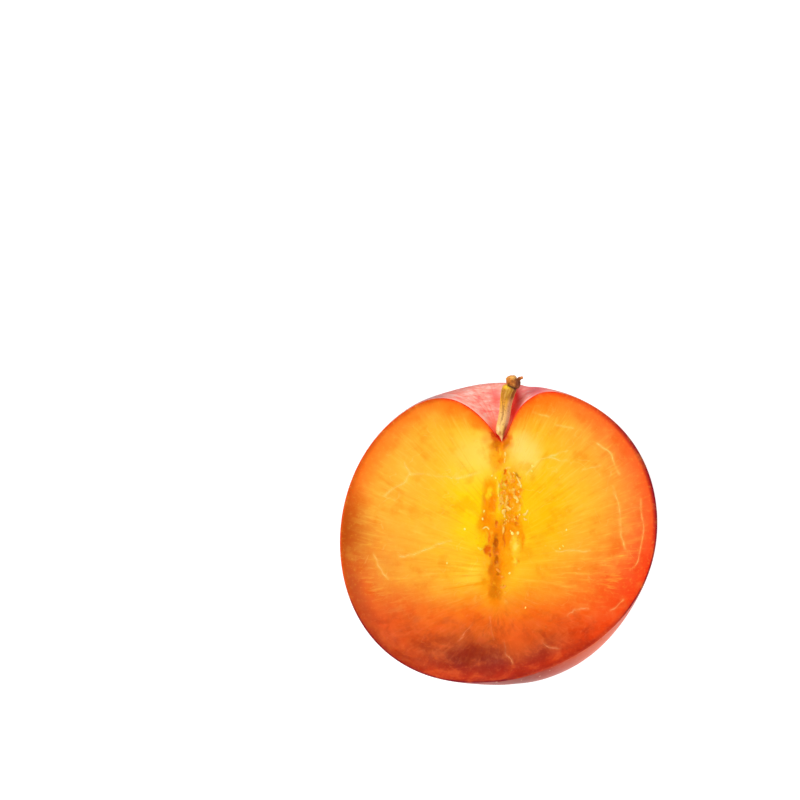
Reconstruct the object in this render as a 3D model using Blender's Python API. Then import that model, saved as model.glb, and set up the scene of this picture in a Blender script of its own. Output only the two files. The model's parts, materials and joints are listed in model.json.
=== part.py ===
# A pluot cut in half from the stem end to the blossom end, lying on its rounded
# back with the cut face up, and its stem still in the stem cavity.
# X runs to the right of the cut face, Y towards the stem and Z up out of the cut.

import math

import bmesh
import bpy
from mathutils import Vector

MM = 0.001

# Radii of the fruit's body about its centre, every 30 degrees from the stem end
# round to the blossom end: on the right of the cut, down the back, on the left.
RADII_RIGHT = [radius * MM for radius in (29.9, 30.9, 31.2, 29.8, 28.0, 26.9, 27.4)]
RADII_BACK = [radius * MM for radius in (29.9, 30.5, 29.6, 29.0, 28.6, 27.9, 27.4)]
RADII_LEFT = [radius * MM for radius in (29.9, 30.5, 30.6, 30.5, 30.9, 29.5, 27.4)]

# Height of the cut above the flat spot that the half rests on.
CUT_HEIGHT = 29.2 * MM

# Stem cavity: a wide funnel, steeper on the right, with a narrow well at its
# bottom for the stem. Widths are angles about the fruit's centre.
CAVITY_DEPTH = 11.0 * MM
FUNNEL_DEPTH_RIGHT = 7.0 * MM
FUNNEL_DEPTH_LEFT = 7.5 * MM
FUNNEL_WIDTH_RIGHT = math.radians(11.2)
FUNNEL_WIDTH_LEFT = math.radians(15.7)
FUNNEL_SHAPE = 2.15
WELL_WIDTH = math.radians(5.2)
WELL_SHAPE = 4.0

# Two swellings below the cut that reach past its edge, the cheek at the lower
# right and the shoulder behind the stem: height, angle from the stem end, turn
# from the right, spread. Both grow from nothing at the cut.
CHEEK = (5.1 * MM, math.radians(150.2), math.radians(35.6), math.radians(40.9))
SHOULDER = (1.5 * MM, math.radians(26.8), math.radians(90.2), math.radians(19.8))
SWELL_START = 0.17

# Slant of the blossom end, which is fuller on the left than on the right.
SLANT_HEIGHT = 2.5 * MM
SLANT_SPREAD = math.radians(25.8)

# Suture: the shallow groove from the stem cavity to the blossom end.
SUTURE_DEPTH = 0.4 * MM
SUTURE_TURN = math.radians(60.0)
SUTURE_WIDTH = 0.09
SUTURE_FADE = math.radians(16.0)

# Long low waves that keep the back from being a plain ball.
WAVE_HEIGHT = 0.25 * MM

# The cut face: slightly raised in the middle, with a soft hollow in two lobes,
# a crevice below them and a row of pulp lumps on either side.
FACE_RISE = 0.35 * MM
SPINE_CENTRE = -0.5 * MM
SPINE_HALF = 14.0 * MM
RIGHT_LOBE = (2.3 * MM, 5.6 * MM, 2.2 * MM, 8.6 * MM, 1.0 * MM)
LEFT_LOBE = (-2.3 * MM, 4.2 * MM, 1.8 * MM, 7.2 * MM, 0.9 * MM)
CREVICE = (-0.6 * MM, -4.8 * MM, 0.8 * MM, 6.4 * MM, 0.8 * MM)
COLUMN = (0.0 * MM, 16.4 * MM, 1.3 * MM, 3.2 * MM, 0.4 * MM)
SEED_LUMP = (2.7 * MM, -0.8 * MM, 1.1 * MM, 2.3 * MM, 0.9 * MM)
LUMP_COUNT = 6
LUMP_PITCH = 2.5 * MM
LUMP_TOP = 11.0 * MM
LUMP_SIZE = 0.95 * MM
LUMP_HEIGHT = 0.5 * MM

# Mesh density of the half ball that the fruit is shaped from.
MERIDIANS = 36
PARALLELS = 44
FACE_RINGS = 22
FACE_CORE = 0.03
STEM_END_CROWDING = 0.35
RING_CROWDING = 1.5
SPINE_WELD = 0.02 * MM
FLAT_SNAP = 0.06 * MM

# Stem: distance from the fruit's centre, sideways lean and radius of each ring,
# from the pointed base to the knobbly end, and the side bud on that end.
STEM_RINGS = [
    (19.20 * MM, 0.30 * MM, 0.16 * MM),
    (20.00 * MM, 0.25 * MM, 0.62 * MM),
    (21.00 * MM, 0.22 * MM, 0.95 * MM),
    (22.50 * MM, 0.50 * MM, 1.04 * MM),
    (24.00 * MM, 0.84 * MM, 1.10 * MM),
    (25.50 * MM, 1.12 * MM, 1.14 * MM),
    (27.00 * MM, 1.37 * MM, 1.20 * MM),
    (28.20 * MM, 1.58 * MM, 1.30 * MM),
    (29.00 * MM, 1.75 * MM, 1.32 * MM),
    (29.45 * MM, 1.95 * MM, 1.14 * MM),
    (29.90 * MM, 2.15 * MM, 1.26 * MM),
    (30.60 * MM, 2.30 * MM, 1.34 * MM),
    (31.20 * MM, 2.36 * MM, 1.08 * MM),
    (31.50 * MM, 2.38 * MM, 0.55 * MM),
]
STEM_SIDES = 16
STEM_LIFT = 0.25 * MM
STEM_RIDGES = 5
RIDGE_HEIGHT = 0.06
BUD_PLACE = 30.9 * MM
BUD_REACH = 0.95 * MM
BUD_LENGTH = 0.55 * MM
BUD_SPREAD = math.radians(32.0)

# Linear colours, roughness and metallic value of each surface.
FLESH = ((1.000, 0.330, 0.030), 0.32, 0.0)
SKIN = ((0.270, 0.035, 0.030), 0.38, 0.0)
STEM = ((0.420, 0.270, 0.070), 0.75, 0.0)


def clear_scene():
    for thing in list(bpy.data.objects):
        bpy.data.objects.remove(thing, do_unlink=True)


def make_material(name, finish):
    colour, roughness, metallic = finish
    material = bpy.data.materials.new(name)
    material.use_nodes = True
    shader = material.node_tree.nodes["Principled BSDF"]
    shader.inputs["Base Color"].default_value = (*colour, 1.0)
    shader.inputs["Roughness"].default_value = roughness
    shader.inputs["Metallic"].default_value = metallic
    material.diffuse_color = (*colour, 1.0)
    return material


def cosine_terms(radii):
    """Terms of the cosine series that passes through evenly spaced radii."""
    last = len(radii) - 1
    terms = []
    for order in range(last + 1):
        total = 0.0
        for i, radius in enumerate(radii):
            share = 0.5 if i in (0, last) else 1.0
            total += share * radius * math.cos(math.pi * order * i / last)
        share = 0.5 if order in (0, last) else 1.0
        terms.append(share * total * 2.0 / last)
    return terms


TERMS_RIGHT = cosine_terms(RADII_RIGHT)
TERMS_BACK = cosine_terms(RADII_BACK)
TERMS_LEFT = cosine_terms(RADII_LEFT)


def series(terms, angle):
    return sum(term * math.cos(order * angle) for order, term in enumerate(terms))


def bell(distance, width):
    return math.exp(-(distance / width) ** 2)


def mix(first, second, share):
    return first + (second - first) * share


def body_radius(angle, turn):
    """Radius without the cavity: angle is from the stem end, turn from the right."""
    side_share = math.cos(turn) ** 2
    side_terms = TERMS_RIGHT if math.cos(turn) > 0.0 else TERMS_LEFT
    return mix(series(TERMS_BACK, angle), series(side_terms, angle), side_share)


def cavity_depth(angle, turn):
    """How far the stem cavity sinks below the body: a funnel and a narrow well."""
    left_share = 0.5 - 0.5 * math.cos(turn)
    depth = mix(FUNNEL_DEPTH_RIGHT, FUNNEL_DEPTH_LEFT, left_share)
    width = mix(FUNNEL_WIDTH_RIGHT, FUNNEL_WIDTH_LEFT, left_share)
    funnel = depth * math.exp(-(angle / width) ** FUNNEL_SHAPE)
    well = (CAVITY_DEPTH - depth) * math.exp(-(angle / WELL_WIDTH) ** WELL_SHAPE)
    return funnel + well


def direction(angle, turn):
    ring = math.sin(angle)
    return Vector((ring * math.cos(turn), math.cos(angle), -ring * math.sin(turn)))


def swell(way, shape):
    """A broad swelling that starts at the cut and is highest below it."""
    height, angle, turn, spread = shape
    away = way.angle(direction(angle, turn))
    return height * bell(away, spread) * (1.0 - math.exp(way.z / SWELL_START))


def slant(angle, way):
    return -SLANT_HEIGHT * way.x * bell(math.pi - angle, SLANT_SPREAD)


def suture(angle, way):
    beside = way.dot(Vector((math.sin(SUTURE_TURN), 0.0, math.cos(SUTURE_TURN))))
    ends = (1.0 - bell(angle, SUTURE_FADE)) * (1.0 - bell(math.pi - angle, SUTURE_FADE))
    return SUTURE_DEPTH * ends * bell(beside, SUTURE_WIDTH)


def waves(way):
    ripple = math.sin(5.0 * way.x + 2.0 * way.y) + math.cos(4.0 * way.y - 3.0 * way.x)
    return WAVE_HEIGHT * ripple * -way.z


def skin_point(angle, turn):
    way = direction(angle, turn)
    radius = body_radius(angle, turn) - cavity_depth(angle, turn) + slant(angle, way)
    radius += swell(way, CHEEK) + swell(way, SHOULDER)
    return way * (radius + waves(way) - suture(angle, way))


def patch(x, y, shape):
    """A soft-edged oval patch: its centre, its half width and height, its depth."""
    centre_x, centre_y, half_x, half_y, depth = shape
    reach = ((x - centre_x) / half_x) ** 2 + ((y - centre_y) / half_y) ** 2
    return depth * math.exp(-reach ** 2)


def face_relief(x, y):
    height = -patch(x, y, RIGHT_LOBE) - patch(x, y, LEFT_LOBE)
    height -= patch(x, y, CREVICE) + patch(x, y, COLUMN)
    height += patch(x, y, SEED_LUMP)
    for side in (-1.0, 1.0):
        for i in range(LUMP_COUNT):
            lump_x = side * RIGHT_LOBE[0] + 0.6 * MM * math.sin(2.4 * i + side)
            lump_y = LUMP_TOP - LUMP_PITCH * i + side * 0.5 * LUMP_PITCH
            lump = (lump_x, lump_y, LUMP_SIZE, LUMP_SIZE * 1.3, LUMP_HEIGHT)
            height += patch(x, y, lump)
    return height


def crowd_to_stem(angle):
    """Moves the rows of a plain ball towards the stem end, where the shape is finer."""
    part = angle / math.pi
    return math.pi * mix(part ** 2, part, STEM_END_CROWDING)


def face_point(share, row_angle, side):
    """Point of the cut face: share runs from the spine at 0 to the rim at 1."""
    rim = skin_point(crowd_to_stem(row_angle), 0.0 if side > 0.0 else math.pi)
    along = 1.0 - 2.0 * row_angle / math.pi
    spine = Vector((0.0, SPINE_CENTRE + SPINE_HALF * along, 0.0))
    point = spine.lerp(rim, share)
    inside = 1.0 - share ** 6
    point.z = inside * (FACE_RISE + face_relief(point.x, point.y))
    return point


def make_half_ball():
    """Half of a plain ball of radius 1, its poles on Y, with rings in its flat face."""
    mesh = bmesh.new()
    bmesh.ops.create_uvsphere(mesh, u_segments=2 * MERIDIANS, v_segments=PARALLELS, radius=1.0)
    for vert in mesh.verts:
        vert.co = Vector((vert.co.x, vert.co.z, -vert.co.y))
    everything = mesh.verts[:] + mesh.edges[:] + mesh.faces[:]
    bmesh.ops.bisect_plane(
        mesh, geom=everything, dist=1e-5, plane_co=(0, 0, 0), plane_no=(0, 0, 1), clear_outer=True
    )
    rim = [edge for edge in mesh.edges if edge.is_boundary]
    disc = bmesh.ops.edgeloop_fill(mesh, edges=rim)["faces"]
    for face in mesh.faces:
        face.material_index = 1
    step = (1.0 - FACE_CORE) / FACE_RINGS
    for face in disc:
        face.material_index = 0
    for _ in range(FACE_RINGS):
        bmesh.ops.inset_individual(mesh, faces=disc, thickness=step, use_even_offset=True)
    bmesh.ops.delete(mesh, geom=disc, context="FACES_ONLY")
    return mesh


def shape_fruit(mesh):
    """Moves each vertex from its place on the half ball to its place on the fruit."""
    for vert in mesh.verts:
        x, y, z = vert.co
        radius = math.hypot(x, y)
        on_skin = z < -1e-4 or radius > 0.999
        if on_skin:
            angle = crowd_to_stem(math.acos(max(-1.0, min(1.0, y))))
            vert.co = skin_point(angle, math.atan2(max(0.0, -z), x))
        else:
            share = max(0.0, (radius - FACE_CORE) / (1.0 - FACE_CORE)) ** RING_CROWDING
            vert.co = face_point(share, math.atan2(abs(x), y), x)


def make_fruit():
    mesh = make_half_ball()
    innermost = [vert for vert in mesh.verts if vert.is_boundary]
    shape_fruit(mesh)
    bmesh.ops.remove_doubles(mesh, verts=innermost, dist=SPINE_WELD)
    everything = mesh.verts[:] + mesh.edges[:] + mesh.faces[:]
    bmesh.ops.bisect_plane(
        mesh, geom=everything, dist=FLAT_SNAP, plane_co=(0, 0, -CUT_HEIGHT), plane_no=(0, 0, -1),
        use_snap_center=True, clear_outer=True
    )
    open_edges = [edge for edge in mesh.edges if edge.is_boundary]
    for face in bmesh.ops.edgeloop_fill(mesh, edges=open_edges)["faces"]:
        face.material_index = 1
    bmesh.ops.recalc_face_normals(mesh, faces=mesh.faces)
    bmesh.ops.translate(mesh, verts=mesh.verts, vec=(0, 0, CUT_HEIGHT))
    return finish_object("fruit_half", mesh, [make_material("flesh", FLESH), make_material("skin", SKIN)])


def make_stem():
    """A round bar built ring by ring, with low ridges along it and a bud at its end."""
    mesh = bmesh.new()
    rings = []
    for along, lean, radius in STEM_RINGS:
        ring = []
        for i in range(STEM_SIDES):
            turn = math.tau * i / STEM_SIDES
            reach = radius * (1.0 + RIDGE_HEIGHT * math.cos(STEM_RIDGES * turn))
            round_bud = bell(2.0 * math.sin(turn / 2.0), BUD_SPREAD)
            reach += BUD_REACH * round_bud * bell(along - BUD_PLACE, BUD_LENGTH)
            height = CUT_HEIGHT + STEM_LIFT + reach * math.sin(turn)
            ring.append(mesh.verts.new((lean + reach * math.cos(turn), along, height)))
        rings.append(ring)
    for lower, upper in zip(rings, rings[1:]):
        for i in range(STEM_SIDES):
            after = (i + 1) % STEM_SIDES
            mesh.faces.new((lower[i], upper[i], upper[after], lower[after]))
    mesh.faces.new(rings[0])
    mesh.faces.new(rings[-1])
    bmesh.ops.recalc_face_normals(mesh, faces=mesh.faces)
    return finish_object("stem", mesh, [make_material("stem", STEM)])


def finish_object(name, mesh, materials):
    data = bpy.data.meshes.new(name)
    mesh.to_mesh(data)
    mesh.free()
    for material in materials:
        data.materials.append(material)
    data.shade_smooth()
    data.set_sharp_from_angle(angle=math.radians(50.0))
    thing = bpy.data.objects.new(name, data)
    bpy.context.scene.collection.objects.link(thing)
    return thing


def main():
    clear_scene()
    make_fruit()
    make_stem()


main()
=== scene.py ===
# %% [markdown]
# # Half a pluot
# A pluot is a plum crossed with an apricot. This one is cut from the stem end to the
# blossom end and lies on its rounded back, so the camera looks down on the cut face.
# The fruit is one grown piece with two surfaces, wet flesh and waxy skin, and the
# stem is a piece of its own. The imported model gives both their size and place.

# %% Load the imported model
import json
import math

import bpy
import numpy as np
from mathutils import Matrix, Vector, noise
from mathutils.bvhtree import BVHTree

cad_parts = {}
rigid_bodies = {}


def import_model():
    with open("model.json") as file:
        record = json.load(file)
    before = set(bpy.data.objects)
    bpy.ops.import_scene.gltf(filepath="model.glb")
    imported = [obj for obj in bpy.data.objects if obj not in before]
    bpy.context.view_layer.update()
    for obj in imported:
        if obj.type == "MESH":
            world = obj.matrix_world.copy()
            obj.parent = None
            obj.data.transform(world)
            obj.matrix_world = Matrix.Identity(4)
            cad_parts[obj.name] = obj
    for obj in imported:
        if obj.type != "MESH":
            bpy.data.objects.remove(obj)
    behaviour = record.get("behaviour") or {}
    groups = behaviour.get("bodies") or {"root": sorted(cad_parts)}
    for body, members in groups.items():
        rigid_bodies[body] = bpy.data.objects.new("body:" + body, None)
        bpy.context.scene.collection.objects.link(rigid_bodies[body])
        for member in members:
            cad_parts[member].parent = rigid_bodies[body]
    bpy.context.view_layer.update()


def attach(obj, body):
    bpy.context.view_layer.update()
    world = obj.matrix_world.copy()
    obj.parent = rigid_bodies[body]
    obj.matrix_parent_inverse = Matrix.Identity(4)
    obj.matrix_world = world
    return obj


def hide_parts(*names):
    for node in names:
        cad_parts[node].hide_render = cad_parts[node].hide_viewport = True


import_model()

MM = 0.001

# %% [markdown]
# ## Camera
# The photograph looks almost straight at the cut face, from a little towards the stem,
# so that the back wall of the stem cavity shows. A long lens keeps the face undistorted.
# The face's centre is off the middle of the picture, so the camera is slid sideways
# instead of being turned: the face then stays as flat to the lens as it is in the photo.

# %% Camera
PICTURE = 800
FACE_PIXEL = (500.0, 540.0)
PIXELS_PER_MM = 5.25
CAMERA_TILT = math.radians(6.0)
CAMERA_DISTANCE = 0.5
CUT_HEIGHT = 29.2 * MM

camera_data = bpy.data.cameras.new("camera")
camera_data.lens = camera_data.sensor_width * CAMERA_DISTANCE * PIXELS_PER_MM / (PICTURE * MM)
camera_data.clip_start = 0.01
camera = bpy.data.objects.new("camera", camera_data)
bpy.context.scene.collection.objects.link(camera)
bpy.context.scene.camera = camera

toward_camera = Vector((0.0, math.sin(CAMERA_TILT), math.cos(CAMERA_TILT)))
picture_up = Vector((0.0, math.cos(CAMERA_TILT), -math.sin(CAMERA_TILT)))
face_right = (FACE_PIXEL[0] - PICTURE / 2) / PIXELS_PER_MM * MM
face_down = (FACE_PIXEL[1] - PICTURE / 2) / PIXELS_PER_MM * MM
aim = Vector((-face_right, 0.0, CUT_HEIGHT)) + picture_up * face_down
camera.location = aim + toward_camera * CAMERA_DISTANCE
camera.rotation_euler = (-CAMERA_TILT, 0.0, 0.0)
print("lens in mm:", round(camera_data.lens, 1))

# %% [markdown]
# ## Table and light
# A plain white table and soft white light, as in a small photo studio. The table is a
# light table that glows a little, so it stays white round the fruit and the skin under
# the cut gets light from below. The lamps stand to the sides, because the cut face is
# flat and wet: a lamp straight above it would be mirrored into the camera and wash its
# colours out.

# %% Table
TABLE_SIZE = 3.0
TABLE_WHITE = 0.45
TABLE_ROUGHNESS = 0.9
TABLE_GLOW = 0.8


def deselect_all():
    bpy.ops.object.select_all(action="DESELECT")


deselect_all()
bpy.ops.mesh.primitive_plane_add(size=TABLE_SIZE, location=(0.0, 0.0, 0.0))
table = bpy.context.object
table.name = "table"
white = bpy.data.materials.new("white_table")
white.use_nodes = True
surface = white.node_tree.nodes["Principled BSDF"].inputs
surface["Base Color"].default_value = (TABLE_WHITE, TABLE_WHITE, TABLE_WHITE, 1.0)
surface["Roughness"].default_value = TABLE_ROUGHNESS
surface["Emission Color"].default_value = (1.0, 1.0, 1.0, 1.0)
surface["Emission Strength"].default_value = TABLE_GLOW
table.data.materials.append(white)

# %% Lamps and sky
LAMP_SIZE = 0.5
# Each row is a name, a place in metres and a power in watts.
LAMPS = (
    ("lamp_upper_left", (-0.72, 0.42, 0.92), 9.4),
    ("lamp_right", (0.8, 0.1, 0.6), 2.6),
    ("lamp_near", (-0.2, -0.9, 0.55), 2.6),
)
SKY_LIGHT = 0.4

for name, place, power in LAMPS:
    data = bpy.data.lights.new(name, "AREA")
    data.size = LAMP_SIZE
    data.energy = power
    lamp = bpy.data.objects.new(name, data)
    bpy.context.scene.collection.objects.link(lamp)
    lamp.location = place
    away = Vector(place) - Vector((0.0, 0.0, CUT_HEIGHT))
    lamp.rotation_euler = away.to_track_quat("Z", "Y").to_euler()

world = bpy.data.worlds.new("studio")
world.use_nodes = True
sky = world.node_tree.nodes["Background"].inputs
sky["Color"].default_value = (1.0, 1.0, 1.0, 1.0)
sky["Strength"].default_value = SKY_LIGHT
bpy.context.scene.world = world
bpy.context.scene.view_settings.view_transform = "Standard"

# %% [markdown]
# ## A rough half ball
# Cutting a ball is the quickest start: a UV sphere with its poles at the stem end and
# the blossom end already has rows that run round the fruit. A bisect takes the front
# half away and fills the cut. The cut is then inset again and again, which gives the
# face rings of its own, fine enough to carry the hollow and the veins.

# %% A rough half ball
MERIDIANS = 72
ROWS = 256
RINGS = 140
CORE = 0.03
ON_PLANE = 1e-4

deselect_all()
bpy.ops.mesh.primitive_uv_sphere_add(
    segments=2 * MERIDIANS, ring_count=ROWS, radius=1.0, rotation=(math.radians(-90.0), 0.0, 0.0)
)
fruit = bpy.context.object
fruit.name = "fruit"
bpy.ops.object.transform_apply(location=True, rotation=True, scale=True)
bpy.ops.object.mode_set(mode="EDIT")
bpy.ops.mesh.select_all(action="SELECT")
bpy.ops.mesh.bisect(
    plane_co=(0, 0, 0), plane_no=(0, 0, 1), clear_outer=True, use_fill=True, threshold=1e-5
)
bpy.ops.object.mode_set(mode="OBJECT")
print("half ball:", len(fruit.data.polygons), "faces")

# %% [markdown]
# The fill is one face with hundreds of corners. It gets the flesh's material slot and
# the rest gets the skin's before the insets, because each inset passes its slot on.

# %% Rings in the cut face
for polygon in fruit.data.polygons:
    on_cut = polygon.normal.z > 0.99 and abs(polygon.center.z) < ON_PLANE
    polygon.select = on_cut
    polygon.material_index = 0 if on_cut else 1
bpy.ops.object.mode_set(mode="EDIT")
bpy.ops.mesh.select_mode(type="FACE")
for _ in range(RINGS):
    bpy.ops.mesh.inset(thickness=(1.0 - CORE) / RINGS)
bpy.ops.mesh.delete(type="ONLY_FACE")
bpy.ops.object.mode_set(mode="OBJECT")
print("with rings:", len(fruit.data.polygons), "faces")

# %% [markdown]
# ## The shape of the fruit
# A pluot is a ball that isn't quite round, so its radius is given at seven angles from
# the stem end for the right of the cut, the back and the left, and a cosine series
# joins them smoothly. The stem cavity, the suture and some low waves are then added to
# that radius, and so are two swellings that reach past the cut's edge: a cheek at the
# lower right and the shoulder behind the stem.

# %% Radii
RADII_RIGHT = (29.9, 30.9, 31.2, 29.8, 28.0, 26.9, 27.4)
RADII_BACK = (29.9, 30.5, 29.6, 29.0, 28.6, 27.9, 27.4)
RADII_LEFT = (29.9, 30.5, 30.6, 30.5, 30.9, 29.5, 27.4)


def series(radii, angle):
    """Radius at each angle from the stem end, through evenly spaced radii in mm."""
    last = len(radii) - 1
    steps = np.arange(last + 1)
    ends = np.where((steps == 0) | (steps == last), 0.5, 1.0)
    waves_at_steps = np.cos(np.pi * np.outer(steps, steps) / last)
    terms = ends * (waves_at_steps @ (ends * np.array(radii))) * 2.0 / last
    return MM * sum(term * np.cos(order * angle) for order, term in enumerate(terms))


def bell(distance, width):
    return np.exp(-(distance / width) ** 2)


def mix(first, second, share):
    return first + (second - first) * share


# %% Stem cavity, swellings, suture and waves
CAVITY_DEPTH = 11.0 * MM
# Each pair is for the right and for the left.
FUNNEL_DEPTHS = (7.0, 7.5)
FUNNEL_SPREADS = (11.2, 15.7)
FUNNEL_POWER = 2.15
WELL_SPREAD = math.radians(5.3)
WELL_POWERS = (2.4, 1.2)
# Each swelling is a height, an angle from the stem end, a turn and a spread.
CHEEK = (5.1 * MM, math.radians(150.2), math.radians(35.6), math.radians(40.9))
SHOULDER = (1.5 * MM, math.radians(26.8), math.radians(90.2), math.radians(19.8))
SWELL_START = 0.17
SLANT_HEIGHT = 2.5 * MM
SLANT_SPREAD = math.radians(25.8)
SUTURE_DEPTH = 0.4 * MM
SUTURE_TURN = math.radians(60.0)
SUTURE_WIDTH = 0.07
SUTURE_FADE = math.radians(16.0)
WAVE_HEIGHT = 0.25 * MM


def direction(angle, turn):
    """Where an angle from the stem end and a turn from the right point to."""
    return np.sin(angle) * np.cos(turn), np.cos(angle), -np.sin(angle) * np.sin(turn)


def cavity(angle, turn):
    """A wide funnel, steeper on the right, with a narrow well for the stem."""
    left = 0.5 - 0.5 * np.cos(turn)
    depth = mix(*FUNNEL_DEPTHS, left) * MM
    spread = np.radians(mix(*FUNNEL_SPREADS, left))
    funnel = depth * np.exp(-(angle / spread) ** FUNNEL_POWER)
    well = np.exp(-(angle / WELL_SPREAD) ** mix(*WELL_POWERS, left))
    return funnel + (CAVITY_DEPTH - depth) * well


def swell(x, y, z, shape):
    """A broad swelling that starts at the cut and grows below it."""
    height, angle, turn, spread = shape
    centre = direction(angle, turn)
    away = np.arccos(np.clip(x * centre[0] + y * centre[1] + z * centre[2], -1.0, 1.0))
    return height * bell(away, spread) * (1.0 - np.exp(z / SWELL_START))


def slant(angle, x):
    """The blossom end is fuller on the left than on the right."""
    return -SLANT_HEIGHT * x * bell(np.pi - angle, SLANT_SPREAD)


def suture(angle, x, z):
    beside = x * math.sin(SUTURE_TURN) + z * math.cos(SUTURE_TURN)
    ends = (1.0 - bell(angle, SUTURE_FADE)) * (1.0 - bell(np.pi - angle, SUTURE_FADE))
    return SUTURE_DEPTH * ends * bell(beside, SUTURE_WIDTH)


def waves(x, y, z):
    ripple = np.sin(5.0 * x + 2.0 * y) + np.cos(4.0 * y - 3.0 * x)
    return WAVE_HEIGHT * ripple * -z


def skin_place(angle, turn):
    """Places on the skin, in metres from the fruit's centre."""
    x, y, z = direction(angle, turn)
    side = np.where(np.cos(turn) > 0.0, series(RADII_RIGHT, angle), series(RADII_LEFT, angle))
    radius = mix(series(RADII_BACK, angle), side, np.cos(turn) ** 2)
    radius = radius - cavity(angle, turn) + waves(x, y, z) - suture(angle, x, z)
    radius = radius + swell(x, y, z, CHEEK) + swell(x, y, z, SHOULDER) + slant(angle, x)
    return np.stack((x * radius, y * radius, z * radius), axis=-1)


# %% [markdown]
# ## The cut face
# The face is nearly flat. Its rings start from a spine down the middle and grow into
# the rim, so they crowd where the detail is: in the hollow that is left in the heart
# of the fruit, and at the rim. The hollow is shallow and full of torn, juicy pulp. It
# has two lobes, a crevice between and below them, and pale lumps, so it is built up
# from soft oval patches, each with its own place, size, height and colour.

# %% Soft patches
def patch(x, y, centre_x, centre_y, half_x, half_y, lean=0.0):
    """1 inside a soft-edged oval and 0 outside it; sizes in mm, lean in degrees."""
    turn = math.radians(lean)
    across = (x - centre_x) * math.cos(turn) + (y - centre_y) * math.sin(turn)
    along = (y - centre_y) * math.cos(turn) - (x - centre_x) * math.sin(turn)
    return np.exp(-((across / half_x) ** 2 + (along / half_y) ** 2) ** 2)


def seen(red, green, blue):
    """A colour as the eye sees it, 0 to 255, made linear for the shader."""
    steps = [value / 255.0 for value in (red, green, blue)]
    linear = [s / 12.92 if s <= 0.04045 else ((s + 0.055) / 1.055) ** 2.4 for s in steps]
    return (*linear, 1.0)


# %% Pulp patches
ORANGE = (255, 162, 6)
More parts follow.
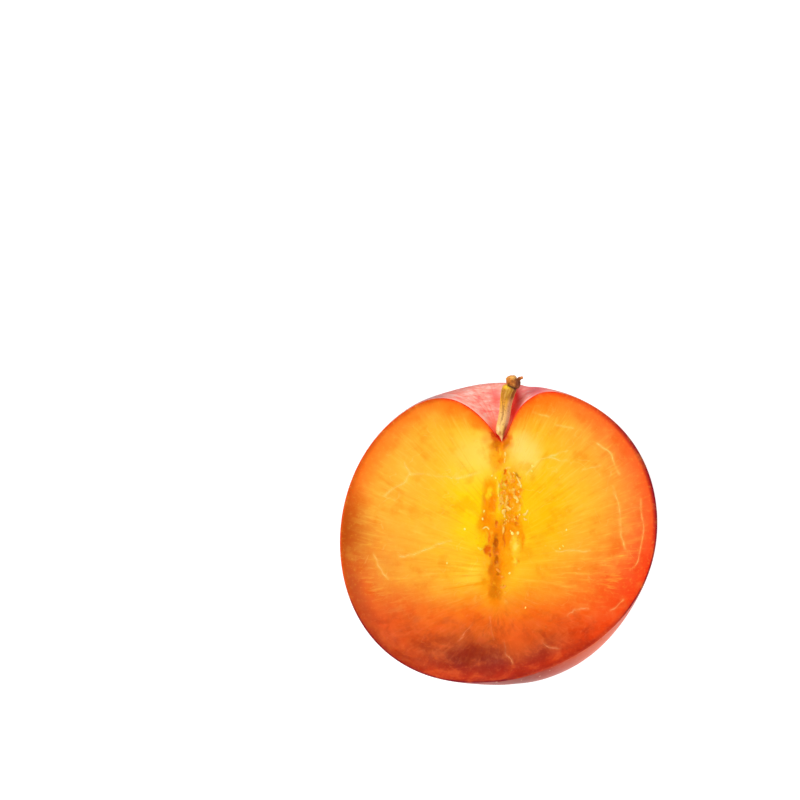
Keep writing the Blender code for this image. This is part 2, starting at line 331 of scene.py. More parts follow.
# Each row is a centre, half sizes, a height, a colour, how far it covers and, where
# the patch doesn't stand upright, its lean.
PULP = (
    # The floor: the two lobes, the column above and the crevice below.
    (-1.4, -6.7, 2.7, 6.8, 0.0, (255, 158, 2), 0.55),
    (-1.9, 9.4, 1.5, 2.7, -0.22, (255, 158, 0), 0.95),
    (-2.2, 6.5, 1.4, 2.5, -0.2, (255, 152, 0), 0.95),
    (-2.65, 3.2, 1.7, 2.9, -0.2, (255, 154, 0), 0.95, -8.0),
    (2.1, 9.1, 2.1, 4.9, -0.32, (255, 158, 10), 0.95),
    (2.3, 1.6, 2.35, 4.2, -0.22, (252, 144, 0), 0.95),
    (1.0, -4.6, 1.6, 3.2, -0.08, (255, 152, 0), 0.75),
    (-0.5, 16.0, 1.7, 2.9, -0.15, (255, 162, 4), 0.9),
    (-0.85, -6.8, 1.3, 5.6, -0.12, (230, 124, 0), 0.85),
    (-0.6, 0.6, 1.6, 3.6, -0.1, (244, 132, 0), 0.9),
    # The column, and the wet flesh at the notch's foot, where the dark red along the notch's two
    # sides is painted shadow beside the stem's foot.
    (-0.12, 12.3, 0.6, 1.2, 0.1, (255, 196, 0), 0.9),
    (-0.05, 17.1, 0.35, 0.9, 0.1, (255, 192, 60), 0.7),
    (-1.1, 15.6, 0.4, 0.7, 0.0, (255, 184, 40), 0.6),
    (0.3, 15.3, 0.7, 0.6, -0.15, (250, 146, 0), 0.7),
    (-0.2, 18.1, 2.0, 1.0, -0.1, (244, 140, 0), 0.8),
    (-0.95, 19.3, 0.62, 1.1, -0.06, (216, 84, 0), 0.85, 51.0),
    (-1.25, 20.15, 0.34, 1.0, -0.04, (200, 42, 0), 0.9, 51.0),
    (1.55, 19.6, 0.55, 1.3, -0.04, (240, 122, 2), 0.75, -32.0),
    (1.12, 19.7, 0.38, 1.0, -0.04, (214, 66, 0), 0.85, -32.0),
    (-0.72, 18.25, 0.82, 0.74, -0.12, (206, 112, 0), 0.72, 20.0),
    (-0.45, 17.5, 0.36, 0.7, -0.1, (220, 124, 0), 0.6),
    (1.0, 18.4, 0.5, 0.9, -0.12, (208, 116, 0), 0.75, -20.0),
    # The left lobe, and the wall between the lobes.
    (-2.08, 9.05, 0.55, 1.15, 0.12, (255, 212, 30), 0.9, -16.0),
    (-1.39, 7.1, 0.75, 1.75, -0.14, (255, 140, 0), 0.95),
    (-1.48, 5.13, 0.55, 0.13, 0.1, (255, 182, 20), 0.8),
    (-2.6, 3.9, 0.9, 0.8, -0.06, (255, 142, 0), 0.8),
    (-1.56, 1.5, 0.4, 0.5, 0.06, (255, 172, 44), 0.8),
    (-0.34, 9.6, 0.24, 2.1, 0.2, (255, 208, 62), 0.95, 2.0),
    (-0.12, 6.6, 0.2, 0.9, 0.16, (255, 194, 72), 0.9, -6.0),
    # The right lobe, torn into shreds.
    (0.9, 13.2, 0.3, 0.65, -0.25, (234, 116, 0), 0.95),
    (3.3, 12.3, 0.32, 0.8, -0.25, (190, 112, 0), 0.95, 36.0),
    (1.35, 13.9, 0.6, 0.3, 0.12, (255, 220, 110), 0.8),
    (1.84, 12.6, 0.34, 0.95, 0.14, (255, 200, 84), 0.85, 20.0),
    (0.8, 10.7, 0.62, 0.42, 0.14, (255, 206, 74), 0.85),
    (2.6, 9.65, 0.5, 0.45, 0.12, (255, 190, 72), 0.85),
    (0.82, 9.24, 0.4, 0.42, 0.1, (255, 184, 80), 0.8),
    (0.13, 7.95, 0.3, 0.7, 0.1, (255, 184, 80), 0.8),
    (1.55, 6.15, 0.8, 0.36, 0.12, (255, 190, 74), 0.85, -22.0),
    (2.8, 11.0, 0.3, 0.32, -0.12, (255, 144, 8), 0.85),
    (1.24, 11.1, 0.2, 0.42, -0.12, (255, 148, 14), 0.85),
    (2.94, 9.1, 0.24, 0.45, -0.12, (250, 130, 0), 0.9),
    (1.75, 8.15, 0.16, 0.55, -0.12, (250, 126, 0), 0.9),
    (3.9, 9.7, 0.24, 0.34, -0.1, (242, 132, 0), 0.8),
    (0.05, 7.0, 0.22, 0.26, -0.1, (240, 134, 0), 0.85),
    (1.55, 6.95, 0.28, 0.6, -0.14, (240, 128, 0), 0.9, 30.0),
    (3.2, 4.3, 0.28, 0.34, -0.14, (226, 118, 0), 0.9),
    (3.12, 3.1, 0.3, 0.5, -0.14, (224, 122, 0), 0.9),
    (-0.71, 3.3, 0.26, 0.7, -0.2, (226, 112, 0), 0.95, -3.0),
    (0.82, 3.4, 0.3, 0.65, -0.2, (222, 118, 0), 0.9),
    (0.82, 0.1, 0.27, 1.5, -0.15, (228, 120, 0), 0.9),
    (0.68, 2.0, 0.17, 0.8, 0.22, (252, 188, 84), 0.9, -4.0),
    # The pale lump at the left, and the crevice.
    (-3.6, -0.1, 1.15, 1.8, 0.24, (255, 200, 8), 0.95, -6.0),
    (-1.98, 0.5, 0.28, 1.2, -0.16, (250, 120, 0), 0.95, -6.0),
    (-2.38, -1.8, 0.72, 0.95, -0.25, (226, 102, 0), 0.97, -20.0),
    (-2.0, -2.9, 0.28, 0.5, -0.2, (218, 96, 0), 0.9),
    (-0.8, -0.45, 0.56, 1.55, -0.26, (192, 90, 0), 1.0),
    (-0.8, -2.2, 0.48, 0.65, -0.2, (216, 110, 0), 0.9),
    (-0.54, -2.65, 0.36, 0.18, 0.06, (255, 152, 40), 0.9),
    (-0.71, -3.8, 0.4, 1.05, -0.26, (198, 100, 0), 0.97),
    (-1.56, -5.45, 0.62, 1.3, -0.08, (220, 118, 0), 0.8),
    (-0.37, -6.55, 0.42, 0.42, -0.12, (204, 106, 0), 0.9),
    (-0.33, -5.85, 0.52, 0.15, 0.12, (252, 148, 26), 0.9, -36.0),
    (-0.71, -7.6, 0.5, 0.6, -0.06, (224, 124, 0), 0.8),
    (-0.97, -9.1, 0.6, 0.7, -0.06, (214, 118, 0), 0.85),
    (-0.8, -10.5, 1.25, 1.1, -0.06, (220, 118, 0), 0.85),
    (-0.88, -11.9, 0.9, 0.9, 0.0, (248, 134, 0), 0.6),
    (-3.0, -8.0, 0.55, 0.9, 0.0, (236, 142, 0), 0.5),
    # The pale lump at the right, and the bits below it.
    (2.94, -0.9, 0.92, 2.5, 0.26, (255, 202, 50), 1.0),
    (2.94, -1.1, 0.42, 0.95, 0.05, (255, 216, 92), 0.85),
    (4.32, 0.0, 0.26, 1.9, -0.12, (255, 146, 0), 0.9),
    (2.94, -4.2, 0.4, 0.8, 0.2, (255, 206, 62), 0.85),
    (2.38, -3.5, 0.3, 0.3, 0.0, (255, 154, 0), 0.8),
    (3.5, -3.95, 0.28, 0.26, 0.0, (250, 150, 0), 0.8),
    (0.39, -7.25, 0.42, 0.26, 0.14, (255, 158, 56), 0.9),
    (0.95, -8.75, 0.26, 0.24, -0.06, (226, 118, 0), 0.8),
    (1.03, -10.15, 0.3, 0.22, 0.12, (255, 172, 56), 0.9),
    (1.24, -11.85, 0.42, 0.28, 0.12, (255, 164, 62), 0.9),
    (5.4, -10.4, 0.2, 0.3, 0.08, (255, 164, 60), 0.8),
)
WARP = 0.3
# The torn part is an oval; a tear is its size across, its size along and a seed.
TORN_PULP = (2.1, 8.0, 2.1, 5.4)
COARSE_TEAR = (0.75, 1.1, 3.0)
FINE_TEAR = (0.34, 0.48, 8.0)
PULP_HEIGHT = 0.16


def tear(x, y, size):
    across, along, seed = size
    return noise.noise(Vector((x / across, y / along, seed)))


def torn_pulp(x, y, amount):
    """Small torn shreds that stand along the hollow, from -1 to 1, at places in mm."""
    shreds = np.zeros_like(x)
    for i in np.nonzero(amount > 0.03)[0]:
        shreds[i] = tear(x[i], y[i], COARSE_TEAR) + 0.5 * tear(x[i], y[i], FINE_TEAR)
    return shreds * amount


def pulp_at(x, y):
    """Height in mm, colour, cover and tornness of the pulp, at places in mm."""
    x, y = x.copy(), y.copy()
    for i in np.nonzero(np.hypot(x, y / 2.5) < 9.0)[0]:
        aside = noise.noise_vector(Vector((x[i], y[i], 1.0)) * 1.1) * WARP
        aside += noise.noise_vector(Vector((x[i], y[i], 6.0)) * 2.9) * 0.45 * WARP
        x[i], y[i] = x[i] + aside.x, y[i] + aside.y
    height = np.zeros_like(x)
    colour = np.tile(np.array(ORANGE, dtype=float), (len(x), 1))
    cover = np.zeros_like(x)
    for centre_x, centre_y, half_x, half_y, high, tint, strength, *lean in PULP:
        inside = patch(x, y, centre_x, centre_y, half_x, half_y, *lean)
        height += high * patch(x, y, centre_x, centre_y, 0.85 * half_x, 0.92 * half_y, *lean)
        share = strength * inside
        total = share + cover * (1.0 - share)
        part = share / np.maximum(total, 1e-6)
        colour = mix(colour, np.array(tint, dtype=float), part[:, None])
        cover = total
    amount = np.clip(patch(x, y, *TORN_PULP) + 0.35 * cover, 0.0, 1.0)
    torn = torn_pulp(x, y, amount)
    return height + PULP_HEIGHT * torn, colour, cover, torn


# %% [markdown]
# ## Veins
# Thin pale vessels run through the flesh, and the cut lays some of them bare. Each is
# a listed route, with its points in mm on the face. They tint the flesh round
# them, and later each gets a thread of its own that stands a little proud.

# %% Vein routes
# Each row is a strength and a route.
VEINS = (
    (0.9, ((-22.1, 8.8), (-18.3, 11.1), (-17.1, 12.8), (-10.9, 12.3), (-8.0, 11.9), (-3.8, 13.2))),
    (0.7, ((-17.1, 12.8), (-18.3, 14.6))),
    (1.0, ((12.6, 17.4), (10.5, 16.3), (7.6, 15.5), (6.3, 14.2), (4.8, 12.8))),
    (0.7, ((13.1, 15.3), (11.2, 15.6), (8.6, 15.9))),
    (0.8, ((18.3, 18.6), (21.0, 16.7), (22.3, 12.8))),
    (0.85, ((21.3, 10.3), (22.7, 6.3), (22.9, 1.7), (23.6, -1.7))),
    (0.4, ((26.7, 7.9), (27.4, 1.3), (26.3, -4.2), (24.8, -5.9))),
    (0.8, ((10.9, -2.3), (13.9, -2.1), (17.1, -1.9))),
    (0.7, ((-18.9, -3.3), (-15.8, -2.5), (-11.8, -0.8), (-9.3, 0.0))),
    (0.8, ((-7.6, -19.2), (-5.3, -16.1))),
    (0.6, ((-1.9, -14.9), (-1.3, -19.2))),
    (0.8, ((0.6, -19.5), (1.2, -21.6), (2.5, -23.8))),
    (0.8, ((13.0, -14.6), (14.3, -13.4), (17.1, -13.2))),
    (0.7, ((8.0, -19.2), (9.0, -20.5), (11.4, -21.1))),
    (0.7, ((23.4, -11.7), (21.3, -13.6))),
    (0.6, ((6.1, 24.5), (9.0, 23.6))),
    (0.6, ((10.7, 22.0), (13.7, 21.6))),
    (0.6, ((15.8, 13.4), (18.9, 14.4))),
    (0.5, ((-24.0, -2.9), (-22.5, -6.1), (-21.5, -7.5))),
)
VEIN_HALO = 0.2
VEIN_WANDER = 0.5
VEIN_WANDER_FINENESS = 0.9


def round_off(route, rounds=3):
    """Cut the corners of a route again and again, so that it bends smoothly."""
    for _ in range(rounds):
        softer = [route[0]]
        for (ax, ay), (bx, by) in zip(route, route[1:]):
            softer.append((mix(ax, bx, 0.25), mix(ay, by, 0.25)))
            softer.append((mix(ax, bx, 0.75), mix(ay, by, 0.75)))
        route = softer + [route[-1]]
    return route


def wander(route, amount, fineness):
    """Shift every point of a route aside by a smooth noise."""
    shifted = []
    for x, y in route:
        aside = noise.noise_vector(Vector((x, y, 0.0)) * fineness) * amount
        shifted.append((x + aside.x, y + aside.y))
    return shifted


def halve(route):
    """Put a point in the middle of every step of a route."""
    finer = [route[0]]
    for (ax, ay), (bx, by) in zip(route, route[1:]):
        finer += [(mix(ax, bx, 0.5), mix(ay, by, 0.5)), (bx, by)]
    return finer


vein_routes = []
for strength, route in VEINS:
    route = wander(halve(halve(route)), VEIN_WANDER, VEIN_WANDER_FINENESS)
    vein_routes.append((strength, round_off(route, 2)))


def vein_nearness(x, y):
    """1 on a vein and 0 away from it, at places in mm on the face."""
    nearness = np.zeros_like(x)
    for strength, route in vein_routes:
        for (ax, ay), (bx, by) in zip(route, route[1:]):
            length = max(math.hypot(bx - ax, by - ay), 1e-4)
            along = ((x - ax) * (bx - ax) + (y - ay) * (by - ay)) / length ** 2
            along = np.clip(along, 0.0, 1.0)
            away = np.hypot(x - mix(ax, bx, along), y - mix(ay, by, along))
            nearness = np.maximum(nearness, strength * bell(away, VEIN_HALO))
    return nearness


# %% Places on the face
FACE_RISE = 0.35 * MM
FACE_FLATNESS = 6
SPINE_CENTRE = -0.5 * MM
SPINE_HALF = 14.0 * MM
RING_CROWDING = 0.7
STEM_END_CROWDING = 0.35


def crowd_to_stem(angle):
    part = angle / np.pi
    return np.pi * mix(part ** 2, part, STEM_END_CROWDING)


def face_place(share, row_angle, side):
    """Places on the face, and how far each is from the rim: share is 0 at the spine."""
    turn = np.where(side > 0.0, 0.0, np.pi)
    rim = skin_place(crowd_to_stem(row_angle), turn)
    spine = np.zeros_like(rim)
    spine[:, 1] = SPINE_CENTRE + SPINE_HALF * (1.0 - 2.0 * row_angle / np.pi)
    place = mix(spine, rim, share[:, None])
    rim_gap = np.linalg.norm(rim - spine, axis=1) * (1.0 - share)
    pulp = pulp_at(place[:, 0] / MM, place[:, 1] / MM)
    place[:, 2] = (1.0 - share ** FACE_FLATNESS) * (FACE_RISE + pulp[0] * MM)
    return place, rim_gap, pulp


# %% [markdown]
# Every vertex of the half ball now moves to its place on the fruit. Its place on the
# ball says which place that is: an angle from the stem end and a turn on the skin, a
# share of the way from the spine to the rim on the face.

# %% Move the vertices
count = len(fruit.data.vertices)
ball = np.empty(count * 3)
fruit.data.vertices.foreach_get("co", ball)
ball = ball.reshape(count, 3)
radius = np.hypot(ball[:, 0], ball[:, 1])
on_skin = (ball[:, 2] < -ON_PLANE) | (radius > 0.999)
skin_angle = crowd_to_stem(np.arccos(np.clip(ball[:, 1], -1.0, 1.0)))
skin_turn = np.arctan2(np.maximum(0.0, -ball[:, 2]), ball[:, 0])
row_angle = np.arctan2(np.abs(ball[:, 0]), ball[:, 1])
even_share = np.clip((radius - CORE) / (1.0 - CORE), 0.0, 1.0)
share = even_share - RING_CROWDING * np.sin(2.0 * np.pi * even_share) / (2.0 * np.pi)

face, rim_gap, pulp = face_place(share, row_angle, ball[:, 0])
place = np.where(on_skin[:, None], skin_place(skin_angle, skin_turn), face)
place[:, 2] += CUT_HEIGHT
fruit.data.vertices.foreach_set("co", place.ravel())
fruit.data.update()

# %% [markdown]
# Materials need to know where they are: how far from the rim, how deep in the hollow,
# and along which fibre. These are stored as attributes before any vertex is merged,
# because a merge keeps them, while the order of the vertices changes.

# %% Attributes for the materials
def store(name, values):
    layer = fruit.data.attributes.new(name, "FLOAT", "POINT")
    layer.data.foreach_set("value", np.where(on_skin, 0.0, values).astype(np.float32))


def store_vector(name, x, y, z):
    layer = fruit.data.attributes.new(name, "FLOAT_VECTOR", "POINT")
    layer.data.foreach_set("vector", np.stack((x, y, z), axis=-1).astype(np.float32).ravel())


store("rim_gap", rim_gap / MM)
pulp_height, pulp_colour, pulp_cover, pulp_torn = pulp
store("pulp_height", pulp_height)
store("pulp_cover", pulp_cover)
store("pulp_torn", pulp_torn)
linear = ((pulp_colour / 255.0 + 0.055) / 1.055) ** 2.4
store_vector("pulp_colour", linear[:, 0], linear[:, 1], linear[:, 2])
store("vein", vein_nearness(face[:, 0] / MM, face[:, 1] / MM))
round_x = np.where(on_skin, np.cos(skin_turn), np.sin(row_angle) * np.sign(ball[:, 0]))
round_y = np.where(on_skin, np.sin(skin_turn), np.cos(row_angle))
outward = np.where(on_skin, skin_angle, share)
store_vector("grain", round_x, round_y, outward)

# %% [markdown]
# The last ring was never filled. Its two sides now lie on each other along the spine,
# so a merge closes them. A bisect at the table's height makes the small flat spot that
# the fruit rests on. The edge of the cut stays sharp and all else is smooth.

# %% Close the spine and flatten the resting spot
SPINE_WELD = 0.02 * MM
FLAT_WELD = 0.01 * MM
SHARP_EDGE = math.radians(50.0)


def pick(thing):
    """Select one object alone and make it the active one."""
    deselect_all()
    thing.select_set(True)
    bpy.context.view_layer.objects.active = thing


pick(fruit)
bpy.ops.object.mode_set(mode="EDIT")
bpy.ops.mesh.select_all(action="DESELECT")
bpy.ops.mesh.select_mode(type="VERT")
bpy.ops.mesh.select_non_manifold()
bpy.ops.mesh.remove_doubles(threshold=SPINE_WELD)
bpy.ops.mesh.select_all(action="SELECT")
bpy.ops.mesh.bisect(
    plane_co=(0, 0, 0), plane_no=(0, 0, -1), clear_outer=True, use_fill=True, threshold=FLAT_WELD
)
bpy.ops.mesh.select_all(action="SELECT")
bpy.ops.mesh.normals_make_consistent(inside=False)
bpy.ops.object.mode_set(mode="OBJECT")
bpy.ops.object.shade_smooth_by_angle(angle=SHARP_EDGE)
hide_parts("fruit_half")
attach(fruit, "root")
print("fruit:", len(fruit.data.vertices), "vertices")

# %% [markdown]
# ## Nodes in few words
# Every material here is a chain of noises, masks and mixed colours. These helpers add
# their nodes to the material that was started last, link what they are given, and
# return the output to pass on. Colours are given as the eye sees them, 0 to 255.

# %% Node helpers
bench = []


def start_material(name):
    material = bpy.data.materials.new(name)
    material.use_nodes = True
    bench.append(material.node_tree)
    return material


def connect(value, socket):
    """Link an output to a socket, or set the socket to a plain value."""
    if isinstance(value, bpy.types.NodeSocket):
        bench[-1].links.new(value, socket)
    else:
        socket.default_value = value


def add(kind, inputs, output=0, **settings):
    """Add a node, set or link its inputs, and return one of its outputs."""
    node = bench[-1].nodes.new("ShaderNode" + kind)
    for key, value in settings.items():
        setattr(node, key, value)
    for socket, value in inputs.items():
        connect(value, node.inputs[socket])
    return node.outputs[output]


def attribute(name, output="Fac"):
    return add("Attribute", {}, output, attribute_name=name)


def millimetres():
    """The place on the piece, in millimetres."""
    place = add("TexCoord", {}, "Object")
    return add("VectorMath", {0: place, "Scale": 1.0 / MM}, operation="SCALE")


def axis(vector, letter):
    return add("SeparateXYZ", {0: vector}, letter)


def stretch(vector, x, y, z):
    return add("VectorMath", {0: vector, 1: (x, y, z)}, operation="MULTIPLY")


def noise_of(vector, scale, detail=3.0, roughness=0.5, distortion=0.0, output="Fac"):
    values = {"Vector": vector, "Scale": scale, "Detail": detail}
    values.update({"Roughness": roughness, "Distortion": distortion})
    return add("TexNoise", values, output)


def ramp(value, low, high, to_low=0.0, to_high=1.0):
    """Map a value smoothly from one range to another, and hold it at the ends."""
    values = {"Value": value, "From Min": low, "From Max": high}
    values.update({"To Min": to_low, "To Max": to_high})
    return add("MapRange", values, interpolation_type="SMOOTHSTEP")


def maths(operation, first, second=0.0):
    return add("Math", {0: first, 1: second}, operation=operation)


def times(first, second):
    return maths("MULTIPLY", first, second)


def blend(share, first, second, mode="MIX"):
    """Mix two colours, each an output or three numbers."""
    first, second = [seen(*c) if isinstance(c, tuple) else c for c in (first, second)]
    inputs = {"Factor": share, 6: first, 7: second}
    return add("Mix", inputs, 2, data_type="RGBA", blend_type=mode)


def tinge(colour, tint, value, low, high, most=1.0, within=None, mode="MIX"):
    """Lay a tint over a colour as a value goes from low to high, within a mask."""
    share = ramp(value, low, high, 0.0, most)
    if within is not None:
        share = times(within, share)
    return blend(share, colour, tint, mode)


THROUGH = 1000.0


def oval(where, centre_x, centre_y, half_x, half_y, most=1.0):
    """A mask that fades from the middle of an oval to its edge; sizes in mm."""
    values = {"Vector": where, "Location": (centre_x, centre_y, 0.0)}
    values["Scale"] = (half_x, half_y, THROUGH)
    inside = add("Mapping", values, vector_type="TEXTURE")
    reach = add("VectorMath", {0: inside}, "Value", operation="LENGTH")
    return ramp(reach, 1.0, 0.0, 0.0, most)


def washes(colour, where, *rows):
    """Lay soft ovals over a colour; a row is the oval, its colour and its strength."""
    for shape, tint, strength in rows:
        colour = blend(oval(where, *shape, strength), colour, tint)
    return colour


def finish(sockets, bump=None, bump_height=0.1 * MM, bump_strength=1.0):
    """Set or link the shader's sockets, and press a pattern into the surface."""
    shader = bench[-1].nodes["Principled BSDF"]
    for socket, value in sockets.items():
        connect(value, shader.inputs[socket])
    if bump is not None:
        values = {"Height": bump, "Distance": bump_height, "Strength": bump_strength}
        connect(add("Bump", values), shader.inputs["Normal"])


# %% [markdown]
# ## Flesh
# Ripe pluot flesh is translucent: light goes in, turns warmer and comes out close by.
# That is subsurface scattering, and the colours are laid over each other like washes,
# yellow round the hollow, cream beside the column under the stem, partly the flesh's
# colour and partly a painted sheen of wet gloss, orange outside, red along the rim and
# brick red towards the blossom end, partly painted shade there. A slow noise shifts the
# places that the washes read, so that none of them has a clean outline.

# %% Broad washes of colour
FLESH_BASE = (255, 182, 56)
# Each row is a centre and half sizes in mm, a colour and how far it covers.
INNER_WASHES = (
    ((1.3, 8.3, 24.0, 39.0), (255, 201, 0), 1.0),
    ((-5.8, 7.0, 7.0, 11.0), (255, 214, 0), 0.9),
    ((8.4, 5.0, 7.0, 11.0), (255, 192, 0), 0.9),
    # These two rows, cream beside the column, are partly the flesh's colour and partly a painted
    # sheen of wet gloss.
    ((-4.6, 16.4, 7.4, 7.9), (255, 240, 130), 0.42),
    ((4.2, 16.9, 5.4, 6.6), (255, 220, 112), 0.95),
)
RIGHT_WASH = ((32.0, -9.6, 37.0, 19.8), (250, 37, 27), 0.7)
LEFT_WASH = ((-36.4, -16.0, 30.0, 33.0), (219, 83, 41), 1.0)
LOOSE_SHIFT = 5.0


def loosen(where):
    """Shift places by a slow noise, by a few mm at most."""
    aside = noise_of(where, 0.16, output="Color")
    aside = add("VectorMath", {0: aside, 1: (0.5, 0.5, 0.5)}, operation="SUBTRACT")
    aside = add("VectorMath", {0: aside, "Scale": LOOSE_SHIFT}, operation="SCALE")
    return add("VectorMath", {0: where, 1: aside}, operation="ADD")


def flesh_washes(where, gap=None):
    """The flesh's colour without its fibres; gap is the distance from the rim in mm."""
    beside, height = axis(where, "X"), axis(where, "Y")
    colour = washes(FLESH_BASE, where, *INNER_WASHES)
    if gap is not None:
        right = ramp(beside, -8.0, 36.8, 0.0, 0.64)
        colour = tinge(colour, (255, 0, 54), gap, 14.8, 0.0, 1.0, right)
    colour = washes(colour, where, RIGHT_WASH)
    # Brick red and darker towards the blossom end: partly the flesh's own colour and partly
    # painted shade.
    colour = tinge(colour, (242, 69, 0), height, -4.6, -16.7, 0.77)
    colour = tinge(colour, (96, 0, 37), height, -13.1, -27.9)
    if gap is not None:
        left = ramp(beside, 0.0, -40.0, 0.0, 0.56)
        colour = tinge(colour, (255, 111, 0), gap, 10.2, 0.0, 1.0, left)
        colour = tinge(colour, (242, 66, 0), gap, 5.6, 0.0, 0.53)
    return washes(colour, where, LEFT_WASH)


# %% Flesh colours
flesh = start_material("flesh")
where = millimetres()
loose = loosen(where)
gap = attribute("rim_gap")
beside, height = axis(where, "X"), axis(where, "Y")
colour = flesh_washes(loose, gap)

# %% [markdown]
# The outermost flesh is stained by the skin, and the skin itself shows as a thin line.
# Each part of the rim gets a mask of its own, because it glows at the stem's notch,
# where the flesh is thin, is dull at the lower left and deep red at the upper right.

# %% Masks along the rim
off_middle = maths("ABSOLUTE", beside)
notch = times(ramp(height, 15.0, 19.0), ramp(off_middle, 13.0, 9.0))
notch_glow = times(notch, ramp(off_middle, 11.0, 6.0))
notch_glow = times(notch_glow, ramp(beside, -2.0, 1.5, 0.6, 0.95))
shoulders = times(ramp(height, 20.2, 22.0), ramp(off_middle, 14.0, 9.0))
lower_left = times(ramp(beside, -12.0, -20.0), ramp(height, -3.0, -9.0))
lower_right = times(ramp(beside, 1.0, 4.0), ramp(height, -13.0, -17.0))
upper_right = times(ramp(beside, 16.0, 25.0), ramp(height, -5.0, 5.0))
dark_side = maths("MAXIMUM", ramp(beside, 14.0, 26.0), ramp(height, -6.0, -16.0))

# %% Rim
RIM_WASHES = (
    ((-24.3, -9.6, 3.0, 2.2), (228, 92, 14), 0.7),
    ((21.3, -7.7, 3.6, 2.6), (248, 88, 12), 0.7),
)
rim_tint = tinge((200, 84, 10), (226, 44, 20), beside, -16.0, 16.0)
rim_tint = tinge(rim_tint, (168, 46, 28), height, -8.0, -20.0)
rim_tint = blend(notch, rim_tint, (255, 58, 14))
line_tint = blend(dark_side, (214, 84, 26), (116, 16, 40))
line_tint = blend(lower_right, line_tint, (196, 70, 44))
line_tint = blend(notch, line_tint, (236, 44, 22))

colour = washes(colour, where, ((-32.0, 2.0, 10.0, 16.0), (176, 70, 0), 1.0))
colour = tinge(colour, (255, 92, 0), gap, 2.8, 0.2, 1.0, notch_glow)
colour = tinge(colour, (255, 118, 8), gap, 9.0, 2.0, 0.6, shoulders)
colour = washes(colour, where, *RIM_WASHES)
colour = tinge(colour, (164, 74, 30), gap, 4.2, 1.2, 0.45, lower_left)
colour = tinge(colour, rim_tint, gap, 1.3, 0.1, 0.75)
colour = tinge(colour, (164, 16, 30), gap, 1.1, 0.3, 0.8, upper_right)
colour = tinge(colour, line_tint, gap, 0.42, 0.16, 0.9)

# %% [markdown]
# Fine fibres fan out from the hollow to the skin, so their noise is read along the
# face's own rings and not across the table. Clouds, cells and brick red stains go over
# them, and a few washes set single places right. The veins fade in and out, because
# the cut runs now through them and now beside them.

# %% Fibres, clouds and stains
grain = attribute("grain", "Vector")
fine_fibre = noise_of(stretch(grain, 46.0, 46.0, 7.0), 1.0, 3.0, 0.6, 0.4)
broad_fibre = noise_of(stretch(grain, 20.0, 20.0, 3.6), 1.0, 3.0, 0.6, 0.3)
stains = noise_of(stretch(grain, 11.0, 11.0, 8.0), 1.0, 3.0, 0.6, 0.3)
clouds = noise_of(where, 0.24, 4.0, 0.6)
cells = noise_of(where, 1.5, 3.0, 0.6)
low_down = ramp(height, -7.0, -17.0)
lowest = ramp(height, -10.0, -20.0)
inner = times(ramp(gap, 0.5, 6.0), ramp(low_down, 0.0, 1.0, 1.0, 0.55))
pale = blend(low_down, (255, 212, 84), (248, 132, 76))
pale = blend(oval(where, 1.0, 5.0, 14.0, 17.0), pale, (255, 214, 8))

colour = tinge(colour, pale, fine_fibre, 0.5, 0.74, 0.34, inner)
colour = tinge(colour, pale, broad_fibre, 0.52, 0.74, 0.26, inner)
colour = tinge(colour, (250, 218, 150), broad_fibre, 0.48, 0.28, 0.45, inner, "MULTIPLY")
colour = tinge(colour, (250, 220, 160), clouds, 0.5, 0.3, 0.7, mode="MULTIPLY")
colour = tinge(colour, pale, clouds, 0.5, 0.72, 0.16)
colour = tinge(colour, (146, 26, 16), stains, 0.56, 0.3, 0.42, lowest)
colour = tinge(colour, (240, 106, 48), stains, 0.5, 0.74, 0.45, lowest)
colour = tinge(colour, pale, cells, 0.52, 0.74, 0.14)

# %% The fan at the lower left, single places and veins
UPPER_FAN = (-5.2, -5.6, 6.0, 4.6)
LOWER_FAN = (-5.6, -8.2, 7.0, 4.6)
FLESH_TOUCHES = (
    ((3.3, -19.6, 4.8, 5.8), (250, 108, 34), 0.6),
    ((-4.2, -21.1, 4.4, 3.2), (140, 24, 6), 0.55),
    ((-2.8, 19.3, 1.4, 1.6), (253, 130, 30), 0.5),
    ((1.9, 18.6, 1.1, 1.7), (250, 126, 0), 0.5),
)
colour = tinge(colour, (255, 214, 64), broad_fibre, 0.46, 0.6, 0.75, oval(where, *UPPER_FAN))
colour = tinge(colour, (255, 154, 4), broad_fibre, 0.49, 0.38, 0.7, oval(where, *LOWER_FAN))
colour = washes(colour, where, *FLESH_TOUCHES)

contour = noise_of(loose, 0.26, 1.5)
contour = maths("ABSOLUTE", maths("SUBTRACT", contour, 0.5))
some = ramp(noise_of(where, 0.33, 1.0), 0.52, 0.62, 0.0, 0.2)
faint = times(ramp(contour, 0.014, 0.0), some)
vein_tint = blend(low_down, (255, 224, 116), (250, 148, 90))
colour = blend(times(faint, inner), colour, vein_tint)
fading = ramp(noise_of(where, 0.42, 2.0), 0.36, 0.6, 0.2, 0.6)
colour = blend(times(attribute("vein"), fading), colour, vein_tint)

# %% Pulp colours
cover = attribute("pulp_cover")
torn = attribute("pulp_torn")
shreds = noise_of(stretch(where, 1.5, 1.0, 1.0), 1.0, 4.0, 0.7, 0.5)
colour = blend(cover, colour, attribute("pulp_colour", "Color"))
colour = tinge(colour, (255, 196, 40), shreds, 0.52, 0.68, 0.35, cover)
colour = tinge(colour, (240, 126, 0), shreds, 0.46, 0.34, 0.4, cover)
colour = tinge(colour, (255, 196, 78), torn, 0.1, 0.5, 0.6)
colour = tinge(colour, (250, 134, 0), torn, -0.05, -0.5, 0.6)

